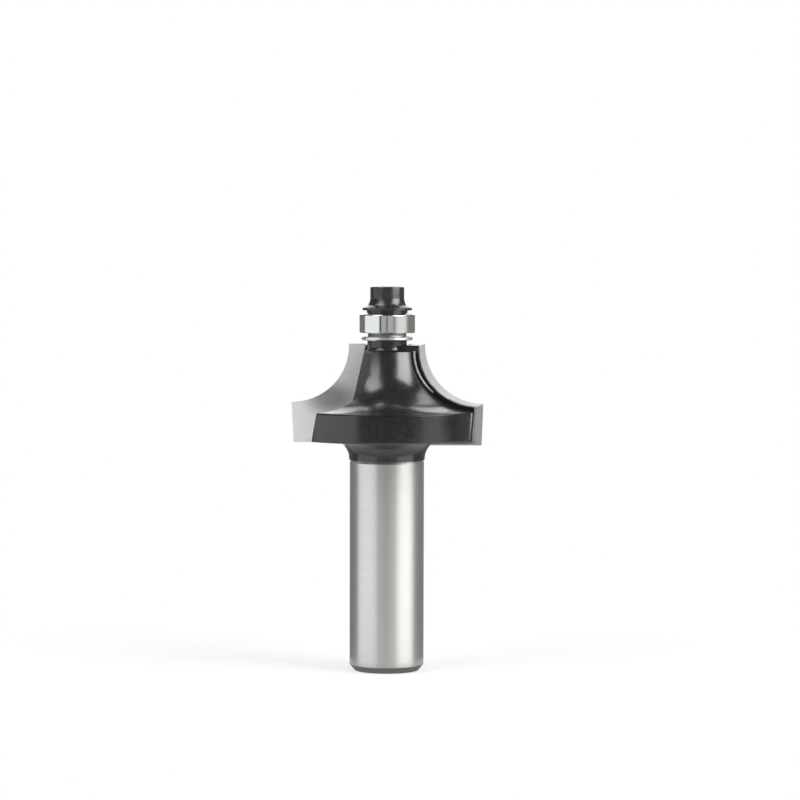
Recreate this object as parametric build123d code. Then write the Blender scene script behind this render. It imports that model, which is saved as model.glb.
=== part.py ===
from build123d import *
import os
from math import asin, cos, radians, sin, sqrt, tan

# Round-over router bit with a guide bearing, standing on the end of its shank.
# Millimetres, +Z up along the axis of rotation, origin at the centre of the shank's end.
# The first cutter lies on -X with its rake face towards -Y, and the second is turned 180 degrees.

# Shank, ground bare up to the collar, with a bevelled shoulder at its top
SHANK_R = 6.0
SHANK_LENGTH = 34.15
SHANK_CHAMFER_HEIGHT = 1.0
SHANK_CHAMFER_DEPTH = 0.84
SHOULDER_HEIGHT = 0.45
SHOULDER_DEPTH = 0.15

# Collar that spreads into the disc
COLLAR_STEP = 0.12
COLLAR_HEIGHT = 0.1
COLLAR_FILLET_R = 3.2

# Cutting profile, shared by the tips, the lands behind them and the flank
ROUND_R = 9.525
INNER_CUT_R = 6.15
STRAIGHT_EDGE = 6.66

# Head of the body, a trumpet flank on a disc
TIP_DROP = 0.75
DISC_INSET = 0.975
DISC_EDGE_R = 0.25
FLANK_INSET = 1.3
HUB_DROP = 1.25
PILOT_NECK_R = 3.2
PILOT_NECK_FILLET_R = 0.7
PILOT_NECK_HEIGHT = 1.8

# Carbide tips, whose rake faces lean back from the top of the cutter to its foot
FACE_OFFSET = 0.2
FACE_LEAN_ANGLE = 12.5
ROOT_LEAN_ANGLE = 12.7
TIP_THICKNESS = 1.9
RELIEF_ANGLE = 12.0
TIP_TOP_RELIEF = 0.2
TIP_FOOT_RELIEF = 0.35
TIP_ARC_STEPS = 9

# Land of the body behind each tip
LAND_INSET = 0.55
LAND_DEPTH = 0.55

# Gullet in front of each tip, one section swept down along the lean
GULLET_NECK_GAP = 0.04
GULLET_FLOOR_ANGLE = 15.8
GULLET_WALL_ANGLE = 11.9
GULLET_WIDTH = 10.35
GULLET_CORNER_R = 5.5
GULLET_RUNOUT = 0.45
CUT_SPARE = 0.1

# Guide bearing
BEARING_BORE_R = 2.5
BEARING_R = 4.5
BEARING_WIDTH = 3.0
RING_WALL = 0.7
RING_EDGE_R = 0.18
BALL_R = 0.5
BALL_COUNT = 10
BALL_CLEARANCE = 0.025
CAGE_WALL = 0.36
CAGE_WIDTH = 1.5
CAGE_POCKET_CLEARANCE = 0.04
SHIELD_THICKNESS = 0.15
SHIELD_RECESS = 0.1
SHIELD_SEAT_DEPTH = 0.15
SHIELD_GAP = 0.1

# Washers of the pilot
SPIGOT_CLEARANCE = 0.01
SPIGOT_STEP = 0.1
WASHER_BORE_CLEARANCE = 0.08
WASHER_BOSS_WALL = 0.6
SPACER_R = 4.15
SPACER_THICKNESS = 0.6
SPACER_BEVEL = 0.16
SPACER_BOSS_HEIGHT = 0.6
DUST_BOSS_HEIGHT = 0.2
DUST_COLLAR_R = 3.3
DUST_COLLAR_HEIGHT = 0.45
DUST_RIM_R = 4.0
DUST_RIM_HEIGHT = 0.4
DUST_CONE_HEIGHT = 0.4
DUST_CONE_TOP_R = 3.25

# Pilot screw
SCREW_R = 1.5
SCREW_CLEARANCE = 0.05
SCREW_LENGTH = 10.0
SCREW_POINT = 0.4
SCREW_HOLE_SPARE = 1.2
SCREW_HEAD_R = 2.75
SCREW_HEAD_HEIGHT = 3.0
SCREW_BASE_STEP = 0.4
SCREW_BASE_HEIGHT = 1.1
SCREW_BASE_HOLLOW = 0.1
SCREW_EDGE_R = 0.22
HEX_ACROSS_FLATS = 2.5
HEX_DEPTH = 1.5
HEX_CHAMFER = 0.15

# Heights of the head, counted up from the shank's end
COLLAR_TOP_Z = SHANK_LENGTH + COLLAR_HEIGHT
DISC_BOTTOM_Z = COLLAR_TOP_Z + COLLAR_FILLET_R
TIP_BOTTOM_Z = DISC_BOTTOM_Z - TIP_DROP
TIP_TOP_Z = TIP_BOTTOM_Z + STRAIGHT_EDGE + ROUND_R
LAND_TOP_Z = TIP_TOP_Z - TIP_TOP_RELIEF
HUB_TOP_Z = TIP_TOP_Z - HUB_DROP
PILOT_NECK_TOP_Z = HUB_TOP_Z + PILOT_NECK_HEIGHT

# Heights of the stack on the neck, each piece seated on the one below
BEARING_Z = PILOT_NECK_TOP_Z + SPACER_THICKNESS + SPACER_BOSS_HEIGHT
BEARING_MID_Z = BEARING_Z + BEARING_WIDTH / 2
BEARING_TOP_Z = BEARING_Z + BEARING_WIDTH
SPIGOT_TOP_Z = BEARING_TOP_Z - SPIGOT_STEP
DUST_COLLAR_Z = BEARING_TOP_Z + DUST_BOSS_HEIGHT
DUST_RIM_Z = DUST_COLLAR_Z + DUST_COLLAR_HEIGHT
SCREW_HEAD_Z = DUST_RIM_Z + DUST_RIM_HEIGHT + DUST_CONE_HEIGHT
SCREW_TOP_Z = SCREW_HEAD_Z + SCREW_HEAD_HEIGHT

# Radii and slopes that follow
COLLAR_R = SHANK_R + COLLAR_STEP
CUT_R = INNER_CUT_R + ROUND_R
DISC_R = CUT_R - DISC_INSET
OUTSIDE_R = 1.5 * CUT_R
SPIGOT_R = BEARING_BORE_R - SPIGOT_CLEARANCE
INNER_RING_R = BEARING_BORE_R + RING_WALL
OUTER_RING_BORE_R = BEARING_R - RING_WALL
BALL_PITCH_R = (INNER_RING_R + OUTER_RING_BORE_R) / 2
SHIELD_SEAT_R = OUTER_RING_BORE_R + SHIELD_SEAT_DEPTH
WASHER_BOSS_R = BEARING_BORE_R + WASHER_BOSS_WALL
FACE_SLOPE = tan(radians(FACE_LEAN_ANGLE))
ROOT_SLOPE = tan(radians(ROOT_LEAN_ANGLE))
FLOOR_SIN = sin(radians(GULLET_FLOOR_ANGLE))
FLOOR_COS = cos(radians(GULLET_FLOOR_ANGLE))
WALL_SLOPE = tan(radians(GULLET_WALL_ANGLE))


def turned_outline(*edges):
    """Solid of revolution about Z from the edges that bound its half section."""
    return revolve(make_face(Wire(list(edges))), Axis.Z)


def turned(*corners):
    """Solid of revolution about Z from a closed list of (radius, height) corners."""
    return revolve(make_face(Polyline(*[(r, 0, z) for r, z in corners], close=True)), Axis.Z)


def wall(start, end):
    """Straight edge of a half section between two (radius, height) points."""
    return Line((start[0], 0, start[1]), (end[0], 0, end[1]))


def hollow_arc(centre_r, centre_z, radius, side):
    """Quarter-round hollow between an inner wall and its floor (side -1) or roof (side 1)."""
    slant = radius * sin(radians(45))
    return ThreePointArc(
        (centre_r - radius, 0, centre_z),
        (centre_r - slant, 0, centre_z + side * slant),
        (centre_r, 0, centre_z + side * radius),
    )


def trumpet_height(radius, inset):
    """Height at a radius of the round-over surface, moved inwards by an inset."""
    reach = ROUND_R + inset
    return TIP_TOP_Z - sqrt(reach**2 - (CUT_R - radius) ** 2)


def trumpet_radius(height, inset):
    """Radius at a height of the round-over surface, moved inwards by an inset."""
    reach = ROUND_R + inset
    return CUT_R - sqrt(reach**2 - (TIP_TOP_Z - height) ** 2)


def trumpet_arc(r_start, r_end, inset):
    """Concave quarter-round edge between two radii, concentric with the cutting profile."""
    r_middle = CUT_R - (ROUND_R + inset) * cos(radians(45))
    return ThreePointArc(*[(r, 0, trumpet_height(r, inset)) for r in (r_start, r_middle, r_end)])


def face_y(height):
    """Y of the first cutter's rake face at a height."""
    return FACE_OFFSET + FACE_SLOPE * (TIP_TOP_Z - height)


def floor_x(y):
    """X of the gullet's floor at a Y, on the plan section at the top of the tips."""
    return -(PILOT_NECK_R + GULLET_NECK_GAP + y * FLOOR_SIN) / FLOOR_COS


def root_x(height):
    """X of the first cutter's root, where its rake face meets the gullet's floor."""
    return floor_x(FACE_OFFSET) - ROOT_SLOPE * (TIP_TOP_Z - height)


def leaning_prism(section, z_low, z_high):
    """Plan section, given at the top of the tips, swept down along the cutter's lean."""
    rise = z_high - TIP_TOP_Z
    top = Pos(ROOT_SLOPE * rise, -FACE_SLOPE * rise, z_high) * section
    lean = Vector(-ROOT_SLOPE, FACE_SLOPE, -1)
    return extrude(top, amount=lean.length * (z_high - z_low), dir=lean)


def plan(*corners):
    """Closed plan section from its (x, y) corners."""
    return make_face(Polyline(*corners, close=True))


def turned_core():
    """Shank, collar, disc, trumpet flank, hub, neck and spigot as one turned form."""
    underside_r = COLLAR_R + COLLAR_FILLET_R
    hub_r = trumpet_radius(HUB_TOP_Z, FLANK_INSET)
    neck_foot_r = PILOT_NECK_R + PILOT_NECK_FILLET_R
    neck_foot_z = HUB_TOP_Z + PILOT_NECK_FILLET_R
    shank = turned(
        (0, 0),
        (SHANK_R - SHANK_CHAMFER_DEPTH, 0),
        (SHANK_R, SHANK_CHAMFER_HEIGHT),
        (SHANK_R, SHANK_LENGTH - SHOULDER_HEIGHT),
        (SHANK_R - SHOULDER_DEPTH, SHANK_LENGTH),
        (0, SHANK_LENGTH),
    )
    head = turned_outline(
        wall((0, SHANK_LENGTH), (COLLAR_R, SHANK_LENGTH)),
        wall((COLLAR_R, SHANK_LENGTH), (COLLAR_R, COLLAR_TOP_Z)),
        hollow_arc(underside_r, COLLAR_TOP_Z, COLLAR_FILLET_R, 1),
        wall((underside_r, DISC_BOTTOM_Z), (DISC_R, DISC_BOTTOM_Z)),
        wall((DISC_R, DISC_BOTTOM_Z), (DISC_R, trumpet_height(DISC_R, FLANK_INSET))),
        trumpet_arc(DISC_R, hub_r, FLANK_INSET),
        wall((hub_r, HUB_TOP_Z), (neck_foot_r, HUB_TOP_Z)),
        hollow_arc(neck_foot_r, neck_foot_z, PILOT_NECK_FILLET_R, -1),
        wall((PILOT_NECK_R, neck_foot_z), (PILOT_NECK_R, PILOT_NECK_TOP_Z)),
        wall((PILOT_NECK_R, PILOT_NECK_TOP_Z), (SPIGOT_R, PILOT_NECK_TOP_Z)),
        wall((SPIGOT_R, PILOT_NECK_TOP_Z), (SPIGOT_R, SPIGOT_TOP_Z)),
        wall((SPIGOT_R, SPIGOT_TOP_Z), (0, SPIGOT_TOP_Z)),
        wall((0, SPIGOT_TOP_Z), (0, SHANK_LENGTH)),
    )
    return shank + fillet(widest_edges(head), DISC_EDGE_R)


def widest_edges(piece):
    """Circular edges with the largest radius of a turned piece."""
    return piece.edges().filter_by(GeomType.CIRCLE).group_by(SortBy.RADIUS)[-1]


def land():
    """Land behind the first tip, a leaning slice of a form turned just inside the cut."""
    land_r = CUT_R - LAND_INSET
    top_r = trumpet_radius(LAND_TOP_Z, LAND_INSET)
    form = turned_outline(
        wall((0, DISC_BOTTOM_Z), (land_r, DISC_BOTTOM_Z)),
        wall((land_r, DISC_BOTTOM_Z), (land_r, trumpet_height(land_r, LAND_INSET))),
        trumpet_arc(land_r, top_r, LAND_INSET),
        wall((top_r, LAND_TOP_Z), (0, LAND_TOP_Z)),
        wall((0, LAND_TOP_Z), (0, DISC_BOTTOM_Z)),
    )
    back = FACE_OFFSET + TIP_THICKNESS + LAND_DEPTH
    slice_plan = plan((0, FACE_OFFSET), (-OUTSIDE_R, FACE_OFFSET), (-OUTSIDE_R, back), (0, back))
    return form & leaning_prism(slice_plan, DISC_BOTTOM_Z, TIP_TOP_Z)


def gullet():
    """Chip space in front of the first cutter, with a round corner between floor and wall."""
    wall_y = FACE_OFFSET - GULLET_WIDTH
    floor_reach = PILOT_NECK_R + GULLET_NECK_GAP + wall_y * FLOOR_SIN
    corner_x = -floor_reach / (FLOOR_COS + WALL_SLOPE * FLOOR_SIN)
    corner = (corner_x, wall_y + corner_x * WALL_SLOPE)
    section = plan(
        (floor_x(FACE_OFFSET), FACE_OFFSET),
        corner,
        (-OUTSIDE_R, wall_y - OUTSIDE_R * WALL_SLOPE),
        (-OUTSIDE_R, FACE_OFFSET),
    )
    section = fillet(section.vertices().sort_by_distance((*corner, 0))[0], GULLET_CORNER_R)
    return leaning_prism(section, DISC_BOTTOM_Z - GULLET_RUNOUT, TIP_TOP_Z + CUT_SPARE)


def tip_seat():
    """Pocket in the body that the first carbide tip is brazed into."""
    root = floor_x(FACE_OFFSET)
    front = FACE_OFFSET - CUT_SPARE
    back = FACE_OFFSET + TIP_THICKNESS
    section = plan((root, front), (-OUTSIDE_R, front), (-OUTSIDE_R, back), (root, back))
    return leaning_prism(section, TIP_BOTTOM_Z, TIP_TOP_Z + CUT_SPARE)


def tip_section(depth):
    """Outline of the first tip on a plane parallel to its rake face, at a depth behind it."""
    drop = depth * tan(radians(RELIEF_ANGLE))
    reach = ROUND_R + drop
    top_z = TIP_TOP_Z - TIP_TOP_RELIEF * depth / TIP_THICKNESS
    foot_z = TIP_BOTTOM_Z + TIP_FOOT_RELIEF * depth / TIP_THICKNESS

    def edge_spot(radius, height):
        y = face_y(height) + depth
        return Vector(-sqrt(radius**2 - y**2), y, height)

    def root_spot(height):
        return Vector(root_x(height), face_y(height) + depth, height)

    low_z = trumpet_height(CUT_R - drop, drop)
    first = asin((TIP_TOP_Z - top_z) / reach)
    last = asin((TIP_TOP_Z - low_z) / reach)
    turns = [first + (last - first) * step / TIP_ARC_STEPS for step in range(TIP_ARC_STEPS + 1)]
    rounding = [edge_spot(CUT_R - reach * cos(turn), TIP_TOP_Z - reach * sin(turn)) for turn in turns]
    foot = edge_spot(CUT_R - drop, foot_z)
    middle = edge_spot(CUT_R - drop, (low_z + foot_z) / 2)
    outline = [
        Line(root_spot(top_z), rounding[0]),
        Spline(*rounding),
        ThreePointArc(rounding[-1], middle, foot),
        Line(foot, root_spot(foot_z)),
        Line(root_spot(foot_z), root_spot(top_z)),
    ]
    return make_face(Wire(outline))


def carbide_tip():
    """First carbide tip, relieved behind its cutting edge, at its top and at its foot."""
    return loft([tip_section(0), tip_section(TIP_THICKNESS)], ruled=True)


def post(radius, z_low, z_high):
    """Round post or hole about Z between two heights."""
    return Pos(0, 0, z_low) * Cylinder(radius, z_high - z_low, align=(Align.CENTER, Align.CENTER, Align.MIN))


def cutter_body():
    """Turned body with its lands, gullets, tip seats and tapped pilot hole."""
    half_turn = Rot(0, 0, 180)
    first_land = land()
    body = turned_core() + first_land + half_turn * first_land
    for cut in (gullet(), tip_seat()):
        body = body - cut - half_turn * cut
    hole_z = SCREW_HEAD_Z - SCREW_LENGTH - SCREW_HOLE_SPARE
    return body - post(SCREW_R + SCREW_CLEARANCE, hole_z, SPIGOT_TOP_Z)


def spacer_washer():
    """Bright washer under the bearing, whose boss carries only the inner ring."""
    bore = SPIGOT_R + WASHER_BORE_CLEARANCE
    low = PILOT_NECK_TOP_Z
    top = low + SPACER_THICKNESS
    return turned(
        (bore, low),
        (SPACER_R - SPACER_BEVEL, low),
        (SPACER_R, low + SPACER_BEVEL),
        (SPACER_R, top - SPACER_BEVEL),
        (SPACER_R - SPACER_BEVEL, top),
        (WASHER_BOSS_R, top),
        (WASHER_BOSS_R, BEARING_Z),
        (bore, BEARING_Z),
    )


def race_groove():
    """Ring-shaped cut for the balls, a little wider than they are."""
    section = Pos(BALL_PITCH_R, 0, BEARING_MID_Z) * Rot(90, 0, 0) * Circle(BALL_R + BALL_CLEARANCE)
    return revolve(section, Axis.Z)


def ring(inner_r, outer_r, z_low, z_high):
    """Plain ring between two radii and two heights."""
    return turned((inner_r, z_low), (outer_r, z_low), (outer_r, z_high), (inner_r, z_high))


def bearing_inner_ring():
    """Inner ring, clamped between the washers, with its raceway."""
    return ring(BEARING_BORE_R, INNER_RING_R, BEARING_Z, BEARING_TOP_Z) - race_groove()


def bearing_outer_ring():
    """Outer ring, which rolls along the workpiece, with its raceway and shield seats."""
    body = ring(OUTER_RING_BORE_R, BEARING_R, BEARING_Z, BEARING_TOP_Z)
    body = fillet(widest_edges(body), RING_EDGE_R) - race_groove()
    seat_depth = SHIELD_RECESS + SHIELD_THICKNESS
    for low in (BEARING_Z, BEARING_TOP_Z - seat_depth):
        body -= post(SHIELD_SEAT_R, low, low + seat_depth)
    return body


def bearing_shield(z_low):
    """Thin ring pressed into the outer ring, clear of the inner ring."""
    return ring(INNER_RING_R + SHIELD_GAP, SHIELD_SEAT_R, z_low, z_low + SHIELD_THICKNESS)


def ball_places():
    """Places of the balls around the pitch circle."""
    return PolarLocations(BALL_PITCH_R, BALL_COUNT).locations


def bearing_balls():
    """Balls of the bearing, as separate solids."""
    level = Pos(0, 0, BEARING_MID_Z)
    return Compound([level * place * Sphere(BALL_R).solid() for place in ball_places()])


def ball_cage():
    """Ring that keeps the balls apart, drilled through with a pocket for each."""
    low = BEARING_MID_Z - CAGE_WIDTH / 2
    cage = ring(BALL_PITCH_R - CAGE_WALL / 2, BALL_PITCH_R + CAGE_WALL / 2, low, low + CAGE_WIDTH)
    level = Pos(0, 0, BEARING_MID_Z)
    drill = Rot(0, 90, 0) * Cylinder(BALL_R + CAGE_POCKET_CLEARANCE, 2 * CAGE_WALL)
    for place in ball_places():
        cage -= level * place * drill
    return cage


def dust_washer():
    """Dark washer with a conical top, whose boss bears on the inner ring."""
    bore = SCREW_R + WASHER_BORE_CLEARANCE
    return turned(
        (bore, BEARING_TOP_Z),
        (WASHER_BOSS_R, BEARING_TOP_Z),
        (WASHER_BOSS_R, DUST_COLLAR_Z),
        (DUST_COLLAR_R, DUST_COLLAR_Z),
        (DUST_COLLAR_R, DUST_RIM_Z),
        (DUST_RIM_R, DUST_RIM_Z),
        (DUST_RIM_R, DUST_RIM_Z + DUST_RIM_HEIGHT),
        (DUST_CONE_TOP_R, SCREW_HEAD_Z),
        (bore, SCREW_HEAD_Z),
    )


def pilot_screw():
    """Socket-head cap screw with a flared base under its head."""
    base_r = SCREW_HEAD_R + SCREW_BASE_STEP
    base_top = SCREW_HEAD_Z + SCREW_BASE_HEIGHT
    flare_r = (base_r + SCREW_HEAD_R) / 2 - SCREW_BASE_HOLLOW
    flare = ThreePointArc(
        (base_r, 0, SCREW_HEAD_Z),
        (flare_r, 0, SCREW_HEAD_Z + SCREW_BASE_HEIGHT / 2),
        (SCREW_HEAD_R, 0, base_top),
    )
    tip_z = SCREW_HEAD_Z - SCREW_LENGTH
    screw = turned_outline(
        wall((0, tip_z), (SCREW_R - SCREW_POINT, tip_z)),
        wall((SCREW_R - SCREW_POINT, tip_z), (SCREW_R, tip_z + SCREW_POINT)),
        wall((SCREW_R, tip_z + SCREW_POINT), (SCREW_R, SCREW_HEAD_Z)),
        wall((SCREW_R, SCREW_HEAD_Z), (base_r, SCREW_HEAD_Z)),
        flare,
        wall((SCREW_HEAD_R, base_top), (SCREW_HEAD_R, SCREW_TOP_Z)),
        wall((SCREW_HEAD_R, SCREW_TOP_Z), (0, SCREW_TOP_Z)),
        wall((0, SCREW_TOP_Z), (0, tip_z)),
    )
    rim = screw.edges().filter_by(GeomType.CIRCLE).sort_by(Axis.Z)[-1]
    return fillet(rim, SCREW_EDGE_R) - hex_socket()


def hex_socket():
    """Hexagonal recess with a chamfered mouth and a drilled cone at its foot."""
    half_flats = HEX_ACROSS_FLATS / 2
    mouth_r = half_flats / cos(radians(30)) + HEX_CHAMFER / 2
    flats = Pos(0, 0, SCREW_TOP_Z - HEX_DEPTH) * RegularPolygon(half_flats, 6, major_radius=False)
    recess = extrude(flats, amount=HEX_DEPTH)
    mouth = turned((0, SCREW_TOP_Z - mouth_r), (mouth_r, SCREW_TOP_Z), (0, SCREW_TOP_Z))
    drill_z = SCREW_TOP_Z - HEX_DEPTH
    drill = turned((0, drill_z - half_flats / 2), (half_flats, drill_z), (0, drill_z))
    return recess + mouth + drill


def all_pieces():
    """Every piece of the router bit by its name."""
    tip = carbide_tip()
    return {
        "cutter_body": cutter_body(),
        "carbide_tip_1": tip,
        "carbide_tip_2": Rot(0, 0, 180) * tip,
        "spacer_washer": spacer_washer(),
        "bearing_inner_ring": bearing_inner_ring(),
        "bearing_outer_ring": bearing_outer_ring(),
        "bearing_balls": bearing_balls(),
        "ball_cage": ball_cage(),
        "lower_shield": bearing_shield(BEARING_Z + SHIELD_RECESS),
        "upper_shield": bearing_shield(BEARING_TOP_Z - SHIELD_RECESS - SHIELD_THICKNESS),
        "dust_washer": dust_washer(),
        "pilot_screw": pilot_screw(),
    }


os.makedirs("parts", exist_ok=True)
for name, piece in all_pieces().items():
    export_step(piece, f"parts/{name}.step")
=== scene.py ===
"""Looks of a round-over router bit: ground steel, black gloss coat, carbide, bearing steel and a plain studio.

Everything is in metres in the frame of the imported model: +Z runs up the axis of rotation and the shank's end
lies on Z = 0. Azimuths are in degrees round +Z, 0 towards -Y, where the camera stands, and 90 towards +X.
"""

import logging
import math
from dataclasses import dataclass
from enum import Enum

import bmesh
import bpy
from mathutils import Matrix, Vector


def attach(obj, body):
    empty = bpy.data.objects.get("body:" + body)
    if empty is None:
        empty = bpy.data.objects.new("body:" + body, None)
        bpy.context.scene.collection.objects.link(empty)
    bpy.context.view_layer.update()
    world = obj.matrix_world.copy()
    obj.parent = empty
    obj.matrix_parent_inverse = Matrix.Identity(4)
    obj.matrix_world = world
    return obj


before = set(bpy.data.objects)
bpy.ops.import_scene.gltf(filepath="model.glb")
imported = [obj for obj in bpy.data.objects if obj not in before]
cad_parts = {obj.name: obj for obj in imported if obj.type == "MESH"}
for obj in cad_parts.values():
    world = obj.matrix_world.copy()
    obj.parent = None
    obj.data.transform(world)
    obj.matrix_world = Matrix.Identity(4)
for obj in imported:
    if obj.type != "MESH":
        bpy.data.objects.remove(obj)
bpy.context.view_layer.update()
LOG = logging.getLogger("router_bit")
MM = 0.001

Socket = bpy.types.NodeSocket
Value = float | Socket
Colour = tuple[float, float, float]
Paint = Colour | Socket
Pair = tuple[float, float]
Point = tuple[float, float, float]

COOL: Colour = (0.95, 0.98, 1.0)
WARM: Colour = (1.0, 1.0, 0.97)
NEUTRAL: Colour = (1.0, 1.0, 1.0)

# levels of a noise, from 0 to 1, between which tool marks darken and roughen a finish, between which specks show
# in it, and between which it turns hazy in patches
DARK_MARKS: Pair = (0.3, 0.75)
ROUGH_MARKS: Pair = (0.3, 0.8)
SPECKS: Pair = (0.35, 0.75)
PATCHES: Pair = (0.4, 0.8)
RING_WAVER = 0.02

# how far off a plane or an arc a surface has to lie to count as another one, in millimetres
CLEAR_OF = 0.03

# heights of the cards that the shank, the disc and the bearing mirror, and the width of a sharp end, in metres
SHANK_BAND: Pair = (-0.018, 0.030)
DISC_BAND: Pair = (0.030, 0.047)
BEARING_BAND: Pair = (0.047, 0.066)
NARROW = 0.0005


class Grain(Enum):
    """Direction in which the tool marks of a finish run."""

    TURNED = "rings round the axis"
    FACED = "rings on a flat face"


def darker(colour: Colour, share: float) -> Colour:
    """Return a colour with each part cut to a share of itself."""
    return tuple(share * part for part in colour)


class Sheet:
    """Node tree of one material, with short calls for the nodes that the finishes share."""

    def __init__(self, name: str, tree_owner: bpy.types.ID) -> None:
        """Start on the tree of a material or world.

        Args:
            name: Name of the finish, used in the log.
            tree_owner: Material or world that owns the node tree.
        """
        self.name = name
        self.owner = tree_owner
        self.owner.use_nodes = True
        self.tree = tree_owner.node_tree

    def add(self, kind: str, **settings: object) -> bpy.types.Node:
        """Add a node.

        Args:
            kind: Name of the node class after "ShaderNode".
            settings: Attributes to set on the node.

        Returns:
            The new node.
        """
        node = self.tree.nodes.new(f"ShaderNode{kind}")
        for key, value in settings.items():
            setattr(node, key, value)
        return node

    def feed(self, target: Socket, value: Value | Colour) -> None:
        """Link a socket to another one, or set its own value.

        Args:
            target: Socket to set.
            value: Socket to link, or else a number or a colour triple.
        """
        if isinstance(value, bpy.types.NodeSocket):
            self.tree.links.new(value, target)
        else:
            target.default_value = (*value, 1.0) if isinstance(value, tuple) else value

    def math(self, operation: str, *values: Value) -> Socket:
        """Add a Math node.

        Args:
            operation: What the node works out.
            values: One to three numbers or sockets.

        Returns:
            The result's socket.
        """
        node = self.add("Math", operation=operation)
        for target, value in zip(node.inputs, values):
            self.feed(target, value)
        return node.outputs[0]

    def plus(self, first: Value, second: Value) -> Socket:
        """Return the sum of two values."""
        return self.math("ADD", first, second)

    def minus(self, first: Value, second: Value) -> Socket:
        """Return the first value less the second."""
        return self.math("SUBTRACT", first, second)

    def times(self, first: Value, second: Value) -> Socket:
        """Return the product of two values."""
        return self.math("MULTIPLY", first, second)

    def length(self, first: Value, second: Value) -> Socket:
        """Return the length of the line across two legs at a right angle."""
        return self.math("SQRT", self.plus(self.times(first, first), self.times(second, second)))

    def away(self) -> Socket:
        """Measure the distance from the frame's origin.

        Returns:
            The distance in metres, as a socket.
        """
        node = self.add("VectorMath", operation="LENGTH")
        self.feed(node.inputs[0], self.add("TexCoord").outputs["Object"])
        return node.outputs["Value"]

    def ramp(self, value: Value, low: float, high: float, start: float = 0.0, end: float = 1.0) -> Socket:
        """Return a value mapped smoothly from low..high to start..end.

        Args:
            value: Value to map.
            low: Value that gives start.
            high: Value that gives end.
            start: Result at and before low.
            end: Result at and after high.

        Returns:
            The mapped value's socket.
        """
        node = self.add("MapRange", interpolation_type="SMOOTHSTEP", clamp=True)
        for target, number in zip(node.inputs, (value, low, high, start, end)):
            self.feed(target, number)
        return node.outputs["Result"]

    def blend(self, factor: Value, first: Paint, second: Paint) -> Socket:
        """Mix two colours.

        Args:
            factor: Share of the second colour.
            first: Colour triple or socket.
            second: Colour triple or socket.

        Returns:
            The mixed colour's socket.
        """
        node = self.add("Mix", data_type="RGBA")
        for target, value in zip((node.inputs[0], node.inputs[6], node.inputs[7]), (factor, first, second)):
            self.feed(target, value)
        return node.outputs[2]

    def mix(self, factor: Value, first: Value, second: Value) -> Socket:
        """Mix two numbers.

        Args:
            factor: Share of the second number.
            first: Number or socket.
            second: Number or socket.

        Returns:
            The mixed number's socket.
        """
        node = self.add("Mix", data_type="FLOAT")
        for target, value in zip((node.inputs[0], node.inputs[2], node.inputs[3]), (factor, first, second)):
            self.feed(target, value)
        return node.outputs[0]

    def vector(self, x: Value, y: Value, z: Value) -> Socket:
        """Put a vector together.

        Args:
            x: First part.
            y: Second part.
            z: Third part.

        Returns:
            The vector's socket.
        """
        node = self.add("CombineXYZ")
        for target, value in zip(node.inputs, (x, y, z)):
            self.feed(target, value)
        return node.outputs[0]

    def noise(self, place: Socket, scale: float, detail: float = 2.0, roughness: float = 0.5) -> Socket:
        """Return a noise value from 0 to 1 at a place.

        Args:
            place: Coordinates in millimetres.
            scale: Features in each millimetre.
            detail: Octaves of finer features.
            roughness: Strength of the finer features.

        Returns:
            The noise value's socket.
        """
        node = self.add("TexNoise", noise_dimensions="3D")
        self.feed(node.inputs["Vector"], place)
        for key, number in (("Scale", scale), ("Detail", detail), ("Roughness", roughness)):
            node.inputs[key].default_value = number
        return node.outputs[0]


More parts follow.
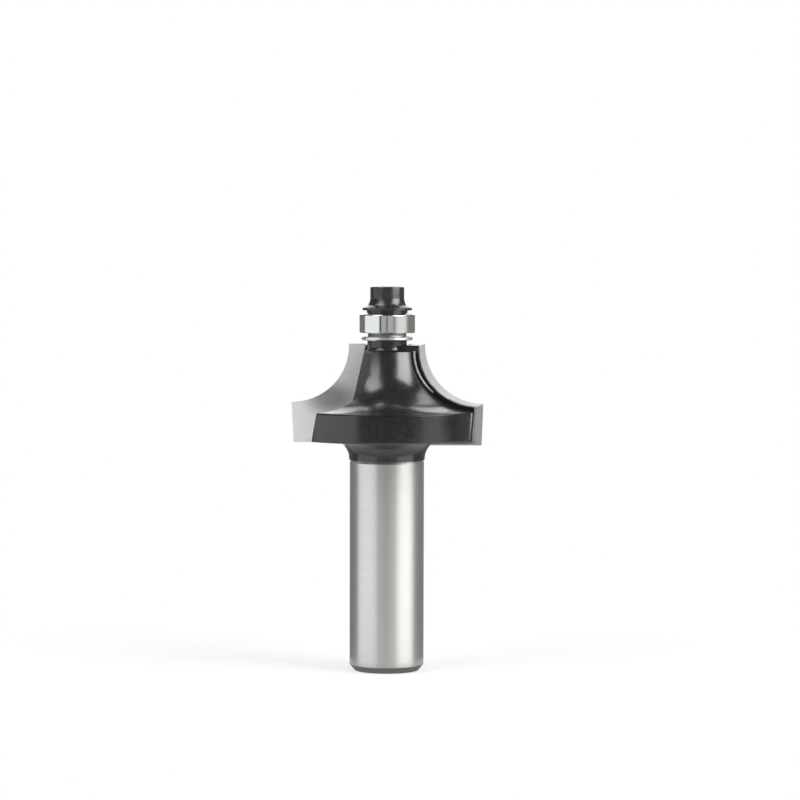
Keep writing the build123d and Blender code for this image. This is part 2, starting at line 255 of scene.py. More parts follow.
class Finish(Sheet):
    """Material of a carried or new piece, built on one Principled shader in the piece's own coordinates."""

    def __init__(self, name: str) -> None:
        """Start a material and read the piece's coordinates in millimetres.

        Args:
            name: Name of the material.
        """
        super().__init__(name, bpy.data.materials.new(name))
        self.shader = self.tree.nodes["Principled BSDF"]
        own = self.add("TexCoord").outputs["Object"]
        scaled = self.add("VectorMath", operation="SCALE")
        self.feed(scaled.inputs[0], own)
        scaled.inputs["Scale"].default_value = 1.0 / MM
        self.place = scaled.outputs[0]
        parts = self.add("SeparateXYZ")
        self.feed(parts.inputs[0], self.place)
        self.x, self.y, self.z = parts.outputs
        self.radius = self.length(self.x, self.y)
        self.bumps: Socket | None = None

    def constant(self, **values: float) -> None:
        """Set sockets of the shader that are the same all over, with _ for the spaces in their names."""
        for key, value in values.items():
            self.shader.inputs[key.replace("_", " ")].default_value = value

    def dress(self, colour: Paint, roughness: Value, metallic: Value) -> None:
        """Set the three sockets that every finish has.

        Args:
            colour: Colour triple or socket.
            roughness: Number or socket.
            metallic: Number or socket.
        """
        inputs = self.shader.inputs
        self.feed(inputs["Base Color"], colour)
        self.feed(inputs["Roughness"], roughness)
        self.feed(inputs["Metallic"], metallic)

    def bump(self, height: Socket, depth_mm: float) -> None:
        """Add a relief over the reliefs so far.

        Args:
            height: Height from 0 to 1.
            depth_mm: Depth of the relief in millimetres.
        """
        node = self.add("Bump")
        self.feed(node.inputs["Height"], height)
        node.inputs["Distance"].default_value = depth_mm * MM
        node.inputs["Strength"].default_value = 1.0
        if self.bumps is not None:
            self.feed(node.inputs["Normal"], self.bumps)
        self.bumps = node.outputs[0]
        self.feed(self.shader.inputs["Normal"], self.bumps)

    def round_tangent(self, amount: float) -> None:
        """Stretch the gloss across grooves that run round the axis.

        Args:
            amount: Anisotropy, from 0 to 1.
        """
        around = self.add("VectorMath", operation="CROSS_PRODUCT")
        around.inputs[0].default_value = (0.0, 0.0, 1.0)
        self.feed(around.inputs[1], self.place)
        unit = self.add("VectorMath", operation="NORMALIZE")
        self.feed(unit.inputs[0], around.outputs[0])
        turned = self.add("VectorTransform", vector_type="VECTOR", convert_from="OBJECT", convert_to="WORLD")
        self.feed(turned.inputs[0], unit.outputs[0])
        self.feed(self.shader.inputs["Tangent"], turned.outputs[0])
        self.constant(Anisotropic=amount)

    def rings(self, along: Socket, pitch: float) -> Socket:
        """Return fine tool marks that run round the axis.

        Args:
            along: Coordinate across the marks, Z on a shaft or the radius on a face.
            pitch: Marks in each millimetre.

        Returns:
            A value from 0 to 1.
        """
        slow_x, slow_y = self.times(self.x, RING_WAVER), self.times(self.y, RING_WAVER)
        return self.marks(self.vector(slow_x, slow_y, self.times(along, pitch)))

    def marks(self, place: Socket) -> Socket:
        """Return fine tool marks from coordinates that are stretched along them."""
        return self.noise(place, 1.0, 3.0, 0.7)

    def stained(self, marks: Socket, colour: Colour, share: float) -> Socket:
        """Return a colour that is cut to a share of itself along the tool marks."""
        return self.blend(self.ramp(marks, *DARK_MARKS), colour, darker(colour, share))

    def worn(self, marks: Socket, roughness: float, spread: Pair) -> Socket:
        """Return a roughness that is higher along the tool marks.

        Args:
            marks: Tool marks, from 0 to 1.
            roughness: Middle of the roughness.
            spread: How far it goes below and above the middle.

        Returns:
            The roughness's socket.
        """
        return self.ramp(marks, *ROUGH_MARKS, roughness - spread[0], roughness + spread[1])

    def put_on(self, obj: bpy.types.Object) -> None:
        """Give the finish to every slot of an object.

        Args:
            obj: Piece to dress.
        """
        if not obj.material_slots:
            obj.data.materials.append(self.owner)
        for own_slot in obj.material_slots:
            own_slot.material = self.owner
        LOG.info("%s wears %s", obj.name, self.name)


@dataclass(frozen=True)
class TurnedSteel:
    """Bare steel with fine marks round the axis."""

    name: str
    colour: Colour
    roughness: float
    pitch: float
    depth_mm: float
    anisotropy: float = 0.3
    grain: Grain = Grain.TURNED
    deep_share: float = 0.86
    painted_shade_above_z: float | None = None
    painted_shade_share: float = 0.3
    dull_roughness: float = 0.15

    def build(self) -> Finish:
        """Build the material.

        Returns:
            The finish.
        """
        steel = Finish(self.name)
        marks = steel.rings(steel.z if self.grain is Grain.TURNED else steel.radius, self.pitch)
        patch_depth = steel.ramp(steel.noise(steel.place, 0.6, 3.0), *PATCHES, 0.0, 0.04)
        colour = steel.stained(marks, self.colour, self.deep_share)
        spread = 0.2 * self.roughness
        rough = steel.plus(steel.worn(marks, self.roughness, (spread, spread)), patch_depth)
        # painted shade: above the given height (on the washer, its boss under the bearing) the colour is cut to a
        # share of itself and turns rougher
        if self.painted_shade_above_z is not None:
            dull = steel.math("GREATER_THAN", steel.z, self.painted_shade_above_z)
            colour = steel.blend(dull, colour, darker(self.colour, self.painted_shade_share))
            rough = steel.plus(rough, steel.times(dull, self.dull_roughness))
        steel.dress(colour, rough, 1.0)
        steel.bump(marks, self.depth_mm)
        steel.round_tangent(self.anisotropy)
        return steel


@dataclass(frozen=True)
class CutterShape:
    """Sizes of the cutter that the finishes and the fine beads follow, in millimetres.

    The flank, the lands and the wall edges are turned to arcs round one centre, which lies arc_radius from the
    axis at the height arc_z. Each reach is the radius of one of those arcs.
    """

    arc_radius: float = 15.675
    arc_z: float = 52.885
    flank_reach: float = 10.825
    edge_reach: float = 10.5
    land_reach: float = 10.075
    face_offset: float = 0.2
    lean: float = math.tan(math.radians(12.5))
    wall_depth: float = 2.45
    tip_thickness: float = 1.9
    edge_heights: Pair = (45.1, 51.75)
    seam_heights: Pair = (43.55, 52.45)
    stations: int = 40

    def level(self, depth: float, z: float) -> float:
        """Return how far a plane behind the leaning face lies from the axis at a height."""
        return self.face_offset + self.lean * (self.arc_z - z) + depth

    def line(self, side: float, depth: float, reach: float, heights: Pair) -> list[Vector]:
        """Return the line where a leaning plane meets a surface turned to an arc.

        Args:
            side: 1 for the tip on +X, -1 for the other.
            depth: How far the plane lies behind the tip's face, in millimetres.
            reach: Radius of the surface's arc round the arc's own centre.
            heights: Where the line begins and ends.

        Returns:
            Points of the line, in metres, from the lower end up.
        """
        points = []
        for step in range(self.stations + 1):
            z = heights[0] + (heights[1] - heights[0]) * step / self.stations
            radius = self.arc_radius - math.sqrt(reach**2 - (self.arc_z - z) ** 2)
            across = self.level(depth, z)
            points.append(Vector((side * math.sqrt(radius**2 - across**2), -side * across, z)) * MM)
        return points


@dataclass(frozen=True)
class GroundCarbide:
    """Satin cemented carbide, ground in straight fine lines, with painted shade on a patch of each face and on
    the flank.
    """

    name: str
    colour: Colour = (0.655, 0.655, 0.647)
    roughness: float = 0.4
    metal: float = 0.28
    deep_share: float = 0.86
    line_lean: Pair = (0.42, 0.9)
    line_pitch: float = 9.0
    line_waver: float = 0.35
    grit_scale: float = 16.0
    painted_face_shade_at: Pair = (9.6, 44.0)
    painted_face_shade_size: Pair = (5.6, 3.9)
    painted_face_shade_depth: float = 0.8
    painted_face_shade_share: float = 0.25
    painted_flank_shade: Pair = (0.36, 0.6)
    painted_flank_shade_heights: Pair = (42.4, 44.4)
    shape: CutterShape = CutterShape()

    def build(self) -> Finish:
        """Build the material.

        Returns:
            The finish.
        """
        carbide = Finish(self.name)
        lines, grit = self.lines(carbide), carbide.noise(carbide.place, self.grit_scale, 2.0)
        colour = carbide.stained(lines, self.colour, self.deep_share)
        # painted shade: a darker patch on each face, deepest at one place, stands in for a dark reflection
        colour = carbide.blend(self.patch_depth(carbide), colour, darker(self.colour, self.painted_face_shade_share))
        # painted shade: the relieved flank behind the face gets a darker copy of the carbide colour, darker still
        # towards the bottom
        low, high = (darker(self.colour, share) for share in self.painted_flank_shade)
        flank = carbide.blend(carbide.ramp(carbide.z, *self.painted_flank_shade_heights), low, high)
        colour = carbide.blend(self.behind_face(carbide), colour, flank)
        rough = carbide.worn(lines, self.roughness, (0.05, 0.06))
        carbide.dress(colour, carbide.plus(rough, carbide.ramp(grit, *SPECKS, -0.03, 0.05)), self.metal)
        carbide.constant(IOR=1.5)
        carbide.bump(lines, 0.0015)
        carbide.bump(grit, 0.0008)
        return carbide

    def lines(self, carbide: Finish) -> Socket:
        """Return the fine straight grinding lines, which run aslant.

        Args:
            carbide: The finish that they mark.

        Returns:
            A value from 0 to 1.
        """
        right, up = self.line_lean
        lean = carbide.plus(carbide.times(carbide.x, right), carbide.times(carbide.z, up))
        slow_x = carbide.times(carbide.x, self.line_waver)
        return carbide.marks(carbide.vector(carbide.times(lean, self.line_pitch), slow_x, 0.0))

    def patch_depth(self, carbide: Finish) -> Socket:
        """Return how deep the painted shade is, which is deepest at one place on each face.

        Args:
            carbide: The finish that it darkens.

        Returns:
            A value from 0 to the painted shade's depth.
        """
        along = carbide.math("DIVIDE", carbide.minus(carbide.radius, self.painted_face_shade_at[0]), self.painted_face_shade_size[0])
        across = carbide.math("DIVIDE", carbide.minus(carbide.z, self.painted_face_shade_at[1]), self.painted_face_shade_size[1])
        return carbide.ramp(carbide.length(along, across), 0.2, 1.0, self.painted_face_shade_depth, 0.0)

    def behind_face(self, carbide: Finish) -> Socket:
        """Return 1 behind the leaning face, on the relieved flank, and 0 on the face.

        Args:
            carbide: The finish that covers both.

        Returns:
            A value of 0 or 1.
        """
        leaning = carbide.times(carbide.minus(self.shape.arc_z, carbide.z), self.shape.lean)
        face = carbide.plus(leaning, self.shape.face_offset)
        turned_y = carbide.times(carbide.times(carbide.math("SIGN", carbide.x), -1.0), carbide.y)
        return carbide.math("GREATER_THAN", carbide.minus(turned_y, face), CLEAR_OF)


@dataclass(frozen=True)
class BlackOxide:
    """Dark oxide on turned steel, mottled and with fine marks round the axis."""

    name: str
    colour: Colour = (0.012, 0.012, 0.013)
    pale: Colour = (0.022, 0.021, 0.022)
    roughness: float = 0.2
    pitch: float = 10.0
    mottle_scale: float = 2.2

    def build(self) -> Finish:
        """Build the material.

        Returns:
            The finish.
        """
        oxide = Finish(self.name)
        marks = oxide.rings(oxide.z, self.pitch)
        mottle = oxide.noise(oxide.place, self.mottle_scale, 4.0)
        colour = oxide.blend(oxide.ramp(mottle, *SPECKS), self.colour, self.pale)
        rough = oxide.worn(marks, self.roughness, (0.04, 0.08))
        oxide.dress(colour, oxide.plus(rough, oxide.ramp(mottle, *PATCHES, 0.0, 0.06)), 0.0)
        oxide.constant(IOR=1.6)
        oxide.bump(marks, 0.002)
        oxide.bump(mottle, 0.004)
        return oxide


@dataclass(frozen=True)
class CoatedBody:
    """One finish for the cutter body: black gloss coat on the head, bare ground steel on the shank and lands."""

    name: str = "coated_tool_steel"
    coat_start_z: float = 34.15
    rim_radius: float = 14.85
    coat: Colour = (0.009, 0.009, 0.010)
    coat_pale: Colour = (0.013, 0.013, 0.014)
    coat_roughness: float = 0.2
    peel_scale: float = 1.4
    milled_painted_shade_coat: Colour = (0.022, 0.022, 0.023)
    milled_roughness: float = 0.34
    milled_heights: Pair = (41.9, 51.5)
    steel: Colour = (0.66, 0.66, 0.645)
    steel_deep_share: float = 0.88
    steel_roughness: float = 0.3
    pitch: float = 12.0
    shape: CutterShape = CutterShape()

    def build(self) -> Finish:
        """Build the material.

        Returns:
            The finish.
        """
        body = Finish(self.name)
        on_head = body.math("GREATER_THAN", body.z, self.coat_start_z - 0.002)
        past_rim = body.math("GREATER_THAN", body.radius, self.rim_radius)
        bare = body.math("MAXIMUM", body.minus(1.0, on_head), past_rim)
        milled = self.milled(body)
        marks, peel = body.rings(body.z, self.pitch), body.noise(body.place, self.peel_scale, 2.0)
        patch_depth = body.ramp(body.noise(body.place, 0.5, 3.0), *PATCHES, 0.0, 0.03)
        steel = body.stained(marks, self.steel, self.steel_deep_share)
        steel_rough = body.plus(body.worn(marks, self.steel_roughness, (0.03, 0.05)), patch_depth)
        coat = body.blend(body.ramp(peel, *SPECKS), self.coat, self.coat_pale)
        # painted shade, partly: the milled walls take a metallic copy of the coat with dimmer gloss; their higher
        # roughness is the milled finish
        coat = body.blend(milled, coat, self.milled_painted_shade_coat)
        coat_rough = body.mix(milled, body.worn(peel, self.coat_roughness, (0.02, 0.03)), self.milled_roughness)
        metal = body.math("MAXIMUM", bare, milled)
        body.dress(body.blend(bare, coat, steel), body.mix(bare, coat_rough, steel_rough), metal)
        body.constant(IOR=1.65)
        body.bump(marks, 0.0012)
        body.round_tangent(0.3)
        return body

    def milled(self, body: Finish) -> Socket:
        """Return 1 on the milled walls between disc and hub and 0 on the turned flank.

        Args:
            body: The finish that covers both.

        Returns:
            A value of 0 or 1.
        """
        out = body.minus(body.radius, self.shape.arc_radius)
        down = body.minus(body.z, self.shape.arc_z)
        off_flank = body.math("ABSOLUTE", body.minus(body.length(out, down), self.shape.flank_reach))
        above = body.math("GREATER_THAN", body.z, self.milled_heights[0])
        below = body.math("LESS_THAN", body.z, self.milled_heights[1])
        return body.times(body.times(above, below), body.math("GREATER_THAN", off_flank, CLEAR_OF))


def glow_sheet(name: str, tint: Colour = NEUTRAL) -> tuple[Sheet, Socket]:
    """Start a material that only gives light.

    Args:
        name: Name of the material.
        tint: Colour of the light.

    Returns:
        The material's sheet and the socket of the light's strength.
    """
    sheet = Sheet(name, bpy.data.materials.new(name))
    sheet.tree.nodes.clear()
    emission = sheet.add("Emission")
    sheet.feed(emission.inputs["Color"], tint)
    sheet.feed(sheet.add("OutputMaterial").inputs["Surface"], emission.outputs[0])
    return sheet, emission.inputs["Strength"]


@dataclass
class Card:
    """Curved studio card that only gloss can see: a soft box, or a dark flag.

    It spans two azimuths and rises between two heights in metres, at each of which it has a level of light and a
    reach from the axis. Towards its sides, over the feather in degrees, and towards its lower and upper end, over
    the two fades in metres, the light goes over to the level at rest.
    """

    name: str
    span: Pair
    rise: Pair
    levels: Pair
    tint: Colour = NEUTRAL
    feather: float = 4.0
    fade: Pair = (NARROW, NARROW)
    reach: Pair = (0.100, 0.100)
    rest: float = 0.0
    degrees_per_step: float = 2.0
    fewest_steps: int = 6

    def build(self) -> None:
        """Spin the card's rising edge through its width and give it its light."""
        mesh = bmesh.new()
        begin, end = (math.radians(side) for side in self.span)
        ends = [
            bmesh.ops.create_vert(mesh, co=(reach * math.sin(begin), -reach * math.cos(begin), height))["vert"][0]
            for reach, height in zip(self.reach, self.rise)
        ]
        side = mesh.edges.new(ends)
        steps = max(self.fewest_steps, int(math.degrees(end - begin) / self.degrees_per_step))
        bmesh.ops.spin(
            mesh, geom=[*ends, side], cent=(0, 0, 0), axis=(0, 0, 1), steps=steps,
            angle=end - begin, use_merge=False, use_duplicate=False,
        )
        show_to_gloss(new_object(self.name, mesh), self.light())

    def light(self) -> Sheet:
        """Make the light, which fades to the card's rest level at the sides.

        Returns:
            The sheet of the card's material.
        """
        sheet, strength = glow_sheet(self.name, self.tint)
        parts = sheet.add("SeparateXYZ")
        sheet.feed(parts.inputs[0], sheet.add("TexCoord").outputs["Object"])
        x, y, height = parts.outputs
        azimuth = sheet.math("ARCTAN2", x, sheet.times(y, -1.0))
        centre, half = sum(self.span) / 2, (self.span[1] - self.span[0]) / 2
        off = sheet.math("WRAP", sheet.minus(azimuth, math.radians(centre)), math.pi, -math.pi)
        off = sheet.math("ABSOLUTE", off)
        low, high = self.rise
        share = sheet.ramp(off, math.radians(half - self.feather), math.radians(half), 1.0, 0.0)
        share = sheet.times(share, sheet.ramp(height, low, low + self.fade[0]))
        share = sheet.times(share, sheet.ramp(height, high - self.fade[1], high, 1.0, 0.0))
        sheet.feed(strength, sheet.mix(share, self.rest, sheet.ramp(height, low, high, *self.levels)))
        return sheet


@dataclass(frozen=True)
class Lamp:
    """Soft square lamp that shines at the object and that gloss doesn't see."""

    name: str
    place: Point
    power: float
    size: float
    aim: Point = (0.0, 0.0, 0.03)

    def build(self) -> None:
        """Hang the lamp and turn it to the object."""
        data = bpy.data.lights.new(self.name, "AREA")
        data.size, data.energy = self.size, self.power
        lamp = bpy.data.objects.new(self.name, data)
        lamp.location = self.place
        lamp.rotation_euler = (Vector(self.aim) - Vector(self.place)).to_track_quat("-Z", "Y").to_euler()
        lamp.visible_glossy = False
        bpy.context.scene.collection.objects.link(lamp)


@dataclass
class Studio:
    """Pale floor, white surroundings, cards, lamps and the camera, with sizes in metres and angles in degrees."""

    floor_size: float = 3.0
    floor_drop: float = 0.02 * MM
    floor_colour: Colour = (0.66, 0.66, 0.66)
    floor_glow: Pair = (0.66, 1.0)
    floor_glow_at: Pair = (0.012, 0.10)
    ceiling_radius: float = 0.11
    ceiling_height: float = 0.191
    ceiling_level: float = 0.1
    shade_drop: float = 0.01 * MM
    shade_at: Pair = (7.0 * MM, 16.0 * MM)
    shade_levels: Pair = (0.20, 0.9)
    world_level: float = 0.9
    disc_sides: int = 48
    camera_place: Point = (0.0021, -0.500, 0.068)
    camera_pitch: float = 2.7726
    camera_roll: float = 0.13
    camera_clip: Pair = (0.01, 10.0)
    lens_mm: float = 139.4
    sensor_mm: float = 36.0
    lamps: tuple[Lamp, ...] = (
        Lamp("left_lamp", (-0.45, -0.35, 0.45), 2.6, 0.35),
        Lamp("right_lamp", (0.45, -0.30, 0.50), 3.8, 0.30),
    )
    cards: tuple[Card, ...] = (
        Card("backing", (-108.0, 100.0), (-0.016, 0.1895), (0.08, 0.06), feather=0.5, reach=(0.102, 0.102)),
        Card("table_glow", (-180.0, 179.9), (-0.060, -0.018), (0.75, 0.75), feather=0.01),
        Card("left_low", (-102.0, -23.5), SHANK_BAND, (1.19, 1.19), COOL, 9.0, rest=0.10),
        Card("left_middle", (-103.0, -31.0), DISC_BAND, (1.13, 1.13), COOL, 7.0, rest=0.06),
        Card("left_bearing", (-106.0, -28.5), BEARING_BAND, (1.08, 1.08), COOL, 6.0, rest=0.08),
        Card("left_high", (-67.0, -22.0), (0.066, 0.150), (1.1, 4.1), COOL, 11.0, (0.012, NARROW)),
        Card("left_top", (-94.0, -22.0), (0.150, 0.190), (4.3, 5.6), COOL, 16.0, (NARROW, 0.006), (0.100, 0.046)),
        Card("right_low", (24.5, 92.0), SHANK_BAND, (1.74, 1.74), WARM, 14.0, rest=0.45),
        Card("right_middle", (35.0, 78.0), DISC_BAND, (1.08, 1.08), WARM, 16.0, rest=0.20),
        Card("right_bearing", (25.5, 97.0), (0.047, 0.0565), (0.92, 0.88), WARM, 22.0, rest=0.30),
        Card("right_high", (31.0, 97.0), (0.0565, 0.189), (8.4, 7.2), WARM, 17.0, (0.012, 0.020), rest=0.20),
        Card("centre_left", (-23.5, -1.6), SHANK_BAND, (0.62, 0.62), feather=1.5, rest=0.40),
        Card("centre_right", (1.6, 24.5), SHANK_BAND, (0.66, 0.64), feather=1.5, rest=0.40),
        Card("centre_middle", (-31.0, 35.0), DISC_BAND, (0.10, 0.10), feather=5.0, rest=0.10),
        Card("bearing_left", (-25.5, -1.2), BEARING_BAND, (0.47, 0.47), feather=2.5, rest=0.05),
        Card("bearing_right", (1.2, 25.5), BEARING_BAND, (0.50, 0.50), feather=1.5, rest=0.24),
        Card("centre_high", (-22.0, 31.0), (0.066, 0.189), (0.14, 0.12), feather=2.0),
        Card("left_flag", (-160.0, -101.0), (-0.018, 0.189), (0.26, 0.06), feather=6.0, reach=(0.101, 0.101)),
        Card("right_flag_low", (90.0, 176.0), (-0.018, 0.062), (0.28, 0.24), reach=(0.1005, 0.1005)),
        Card("right_flag", (90.0, 160.0), (0.062, 0.189), (0.12, 0.08), feather=6.0, reach=(0.101, 0.101)),
        Card("left_back_high", (-157.0, -122.0), (0.128, 0.190), (1.1, 1.5), NEUTRAL, 8.0, (0.024, NARROW)),
        Card("right_back_high", (118.0, 157.5), (0.105, 0.190), (2.2, 2.8), NEUTRAL, 7.0, (0.036, NARROW)),
        Card("back", (154.0, 206.0), (0.066, 0.190), (2.3, 2.3), NEUTRAL, 3.0, (0.010, 0.012), (0.105, 0.105)),
    )

    def build(self) -> None:
        """Set up everything round the object."""
        self.floor()
        for card in self.cards:
            card.build()
        self.ceiling()
        self.foot_shade()
        for lamp in self.lamps:
            lamp.build()
        self.world()
        self.camera()

    def floor(self) -> None:
        """Lay the pale floor, which shows the object's shadow and turns white further off."""
        mesh = bmesh.new()
        bmesh.ops.create_grid(mesh, x_segments=1, y_segments=1, size=self.floor_size / 2)
        bmesh.ops.translate(mesh, verts=mesh.verts, vec=(0.0, 0.0, -self.floor_drop))
        obj = new_object("floor", mesh)
        sheet = Sheet("pale_floor", bpy.data.materials.new("pale_floor"))
        sheet.tree.nodes.clear()
        diffuse, white, shader = (sheet.add(kind) for kind in ("BsdfDiffuse", "Emission", "MixShader"))
        sheet.feed(diffuse.inputs["Color"], self.floor_colour)
        sheet.feed(white.inputs["Strength"], 1.0)
        glow = sheet.ramp(sheet.away(), *self.floor_glow_at, *self.floor_glow)
        sheet.feed(shader.inputs[0], sheet.times(background_share(sheet), glow))
        sheet.feed(shader.inputs[1], diffuse.outputs[0])
        sheet.feed(shader.inputs[2], white.outputs[0])
        sheet.feed(sheet.add("OutputMaterial").inputs["Surface"], shader.outputs[0])
        obj.data.materials.append(sheet.owner)
        obj.visible_glossy = False

    def ceiling(self) -> None:
        """Hang the dark card over the object that gloss sees straight above."""
        sheet, strength = glow_sheet("dark_ceiling")
        sheet.feed(strength, self.ceiling_level)
        show_to_gloss(self.disc("dark_ceiling", self.ceiling_radius, self.ceiling_height), sheet)

    def foot_shade(self) -> None:
        """Lay the dark that the shank's foot mirrors where it stands."""
        sheet, strength = glow_sheet("foot_shade")
        sheet.feed(strength, sheet.ramp(sheet.away(), *self.shade_at, *self.shade_levels))
        show_to_gloss(self.disc("foot_shade", self.shade_at[1], -self.shade_drop), sheet)

    def disc(self, name: str, radius: float, height: float) -> bpy.types.Object:
        """Cut a flat round card.

        Args:
            name: Name of the card.
            radius: The card's radius, in metres.
            height: Where the card lies, in metres.

        Returns:
            The card.
        """
        mesh = bmesh.new()
        bmesh.ops.create_circle(mesh, cap_ends=True, segments=self.disc_sides, radius=radius)
        bmesh.ops.translate(mesh, verts=mesh.verts, vec=(0.0, 0.0, height))
        return new_object(name, mesh)

    def world(self) -> None:
        """Surround the scene with white for the camera and gloss, and a plain level for the rest."""
        world = bpy.data.worlds.new("studio")
        bpy.context.scene.world = world
        sheet = Sheet("studio", world)
        sheet.tree.nodes.clear()
        back = sheet.add("Background")
        sheet.feed(back.inputs["Color"], NEUTRAL)
        sheet.feed(back.inputs["Strength"], sheet.mix(background_share(sheet), self.world_level, 1.0))
        sheet.feed(sheet.add("OutputWorld").inputs["Surface"], back.outputs[0])

    def camera(self) -> None:
        """Stand the camera at the photograph's viewing angle."""
        data = bpy.data.cameras.new("camera")
        data.lens, data.sensor_width = self.lens_mm, self.sensor_mm
        data.clip_start, data.clip_end = self.camera_clip
        camera = bpy.data.objects.new("camera", data)
        pitch = Matrix.Rotation(math.radians(90.0 - self.camera_pitch), 4, "X")
        roll = Matrix.Rotation(math.radians(self.camera_roll), 4, "Z")
        camera.matrix_world = Matrix.Translation(self.camera_place) @ pitch @ roll
        bpy.context.scene.collection.objects.link(camera)
        bpy.context.scene.camera = camera


def background_share(sheet: Sheet) -> Socket:
    """Tell the rays that see the white background from those that carry light to the object.

    Args:
        sheet: Sheet of the floor or the world.

    Returns:
        A socket that is 1 for camera, gloss and glass rays and 0 for the rest.
    """
    path = sheet.add("LightPath").outputs
    seen = sheet.math("MAXIMUM", path["Is Camera Ray"], path["Is Glossy Ray"])
    return sheet.math("MAXIMUM", seen, path["Is Transmission Ray"])


def show_to_gloss(obj: bpy.types.Object, sheet: Sheet) -> None:
    """Dress a card and leave it to gloss rays alone.

    Args:
        obj: The card.
        sheet: Sheet of the card's material.
    """
    obj.data.materials.append(sheet.owner)
    obj.visible_camera = False
    obj.visible_diffuse = False
    obj.visible_transmission = False
    obj.visible_volume_scatter = False
    obj.visible_shadow = False


def new_object(name: str, mesh: bmesh.types.BMesh) -> bpy.types.Object:
    """Turn a finished bmesh into a linked object at the origin.

    Args:
        name: Name of the object and its mesh.
        mesh: The mesh, which is freed.

    Returns:
        The new object.
    """
    data = bpy.data.meshes.new(name)
    mesh.to_mesh(data)
    mesh.free()
    obj = bpy.data.objects.new(name, data)
    bpy.context.scene.collection.objects.link(obj)
    return obj


@dataclass
class Bead:
    """Thin round bead drawn along a line, such as a wall's edge or a seam of braze."""

    name: str
    line: list[Vector]
    radius_mm: float
    sides: int = 10

    def build(self) -> bpy.types.Object:
        """Draw the bead's round section along its line and close its ends.

        Returns:
            The bead, smooth along its sides and flat at its ends.
        """
        mesh = bmesh.new()
        bmesh.ops.create_circle(mesh, cap_ends=True, segments=self.sides, radius=self.radius_mm * MM)
        turn = self.direction(0).to_track_quat("Z", "Y").to_matrix()
        bmesh.ops.rotate(mesh, verts=mesh.verts, cent=(0, 0, 0), matrix=turn)
        bmesh.ops.translate(mesh, verts=mesh.verts, vec=self.line[0])
        face = mesh.faces[:][0]
        for step in range(1, len(self.line)):
            made = bmesh.ops.extrude_face_region(mesh, geom=[face], use_keep_orig=step == 1)
            face = next(part for part in made["geom"] if isinstance(part, bmesh.types.BMFace))
            bmesh.ops.translate(mesh, verts=face.verts, vec=self.line[step] - self.line[step - 1])
            bend = self.direction(step - 1).rotation_difference(self.direction(step)).to_matrix()
            bmesh.ops.rotate(mesh, verts=face.verts, cent=self.line[step], matrix=bend)
        bmesh.ops.recalc_face_normals(mesh, faces=mesh.faces)
        for side in mesh.faces:
            side.smooth = len(side.verts) == 4
        return new_object(self.name, mesh)

    def direction(self, step: int) -> Vector:
        """Return the line's direction at one of its points."""
        last = len(self.line) - 1
        return (self.line[min(step + 1, last)] - self.line[max(step - 1, 0)]).normalized()


@dataclass(frozen=True)
class BeadCoat:
    """Coat on the walls' edges, turning to a bright steel colour towards the top as a painted highlight, in
    patches.
    """

    name: str = "bead_coat"
    coat: Colour = (0.03, 0.03, 0.03)
    steel: Colour = (0.42, 0.42, 0.41)
    roughness: float = 0.3
    painted_highlight_heights: Pair = (45.0, 47.0)
    painted_highlight_metallic: float = 0.5

    def build(self) -> Finish:
        """Build the material.

        Returns:
            The finish.
        """
        edge = Finish(self.name)
        peel = edge.noise(edge.place, 3.0, 2.0)
        # painted highlight: the bead turns to a bright steel colour and half metal towards the top, in patches
        # along it
        bare = edge.ramp(edge.z, *self.painted_highlight_heights)
        painted_highlight = edge.times(bare, edge.ramp(peel, 0.2, 0.7, 0.55, 1.0))
        colour = edge.blend(painted_highlight, self.coat, self.steel)
        edge.dress(colour, edge.worn(peel, self.roughness, (0.03, 0.05)), edge.times(bare, self.painted_highlight_metallic))
        edge.constant(IOR=1.65)
        edge.bump(peel, 0.004)
        return edge


@dataclass(frozen=True)
class BrazeAlloy:
    """Dull silvery braze that has run out along a tip's back."""

    name: str = "braze_alloy"
    colour: Colour = (0.36, 0.34, 0.28)
    dull: Colour = (0.24, 0.23, 0.20)
    stained: Colour = (0.07, 0.065, 0.06)
    roughness: float = 0.42

    def build(self) -> Finish:
        """Build the material.

        Returns:
            The finish.
        """
        braze = Finish(self.name)
        runs = braze.noise(braze.place, 1.6, 4.0)
        stain = braze.ramp(braze.noise(braze.place, 0.7, 2.0), 0.45, 0.7)
        colour = braze.blend(stain, braze.blend(runs, self.colour, self.dull), self.stained)
        rough = braze.ramp(runs, 0.3, 0.7, self.roughness - 0.06, self.roughness + 0.12)
        braze.dress(colour, rough, 0.9)
        braze.bump(runs, 0.02)
        return braze


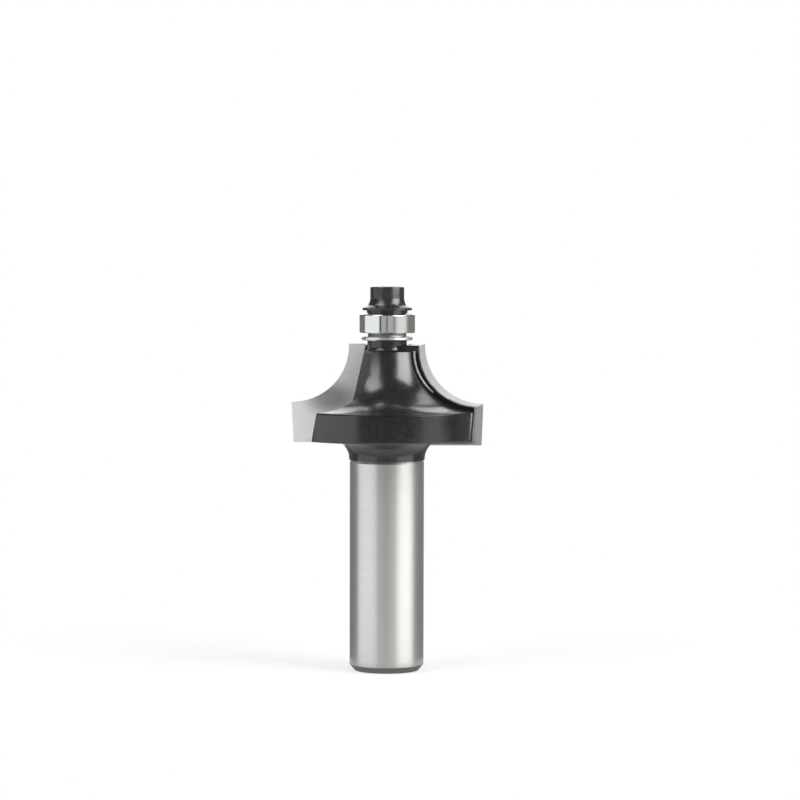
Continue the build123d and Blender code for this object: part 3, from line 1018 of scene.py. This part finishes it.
@dataclass(frozen=True)
class FineBeads:
    """The edge beads on the two lands' walls, with a painted highlight towards the top, and the braze along each
    tip's back.
    """

    shape: CutterShape = CutterShape()
    edge_radius_mm: float = 0.2
    seam_radius_mm: float = 0.09

    def build(self) -> None:
        """Build the beads of each side and let them turn with the tool."""
        coat, braze, shape = BeadCoat().build(), BrazeAlloy().build(), self.shape
        for number, side in ((1, -1.0), (2, 1.0)):
            edge_line = shape.line(side, shape.wall_depth, shape.edge_reach, shape.edge_heights)
            seam_line = shape.line(side, shape.tip_thickness, shape.land_reach, shape.seam_heights)
            for name, line, radius, finish in (
                (f"wall_edge_{number}", edge_line, self.edge_radius_mm, coat),
                (f"braze_seam_{number}", seam_line, self.seam_radius_mm, braze),
            ):
                bead = Bead(name, line, radius).build()
                finish.put_on(bead)
                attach(bead, "tool")


@dataclass
class CarriedPieces:
    """Finishes of the pieces whose shape comes with the frame."""

    nodes: dict[str, bpy.types.Object]

    def build(self) -> None:
        """Give every piece its finish and report it."""
        polished = TurnedSteel("polished_bearing_steel", (0.80, 0.80, 0.79), 0.07, 18.0, 0.0005, anisotropy=0.2)
        satin = TurnedSteel("pressed_shield_steel", (0.62, 0.62, 0.61), 0.3, 8.0, 0.001, grain=Grain.FACED)
        # painted shade on the washer's boss above 54.06 mm
        bright = TurnedSteel("bright_turned_washer", (0.86, 0.86, 0.84), 0.34, 9.0, 0.002, painted_shade_above_z=54.06)
        dressed = (
            (CoatedBody(), ("cutter_body",)),
            (GroundCarbide("ground_carbide"), ("carbide_tip_1", "carbide_tip_2")),
            (bright, ("spacer_washer",)),
            (polished, ("bearing_outer_ring", "bearing_inner_ring", "bearing_balls")),
            (satin, ("ball_cage", "lower_shield", "upper_shield")),
            (BlackOxide("black_oxide_washer"), ("dust_washer",)),
            (BlackOxide("black_oxide_screw", (0.014, 0.014, 0.015)), ("pilot_screw",)),
        )
        for look, names in dressed:
            finish = look.build()
            for name in names:
                finish.put_on(self.nodes[name])


def main() -> None:
    """Build the looks in order."""
    logging.basicConfig(level=logging.INFO, format="%(name)s: %(message)s")
    bpy.context.scene.view_settings.view_transform = "Standard"
    CarriedPieces(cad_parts).build()
    FineBeads().build()
    Studio().build()


if __name__ == "__main__":
    main()
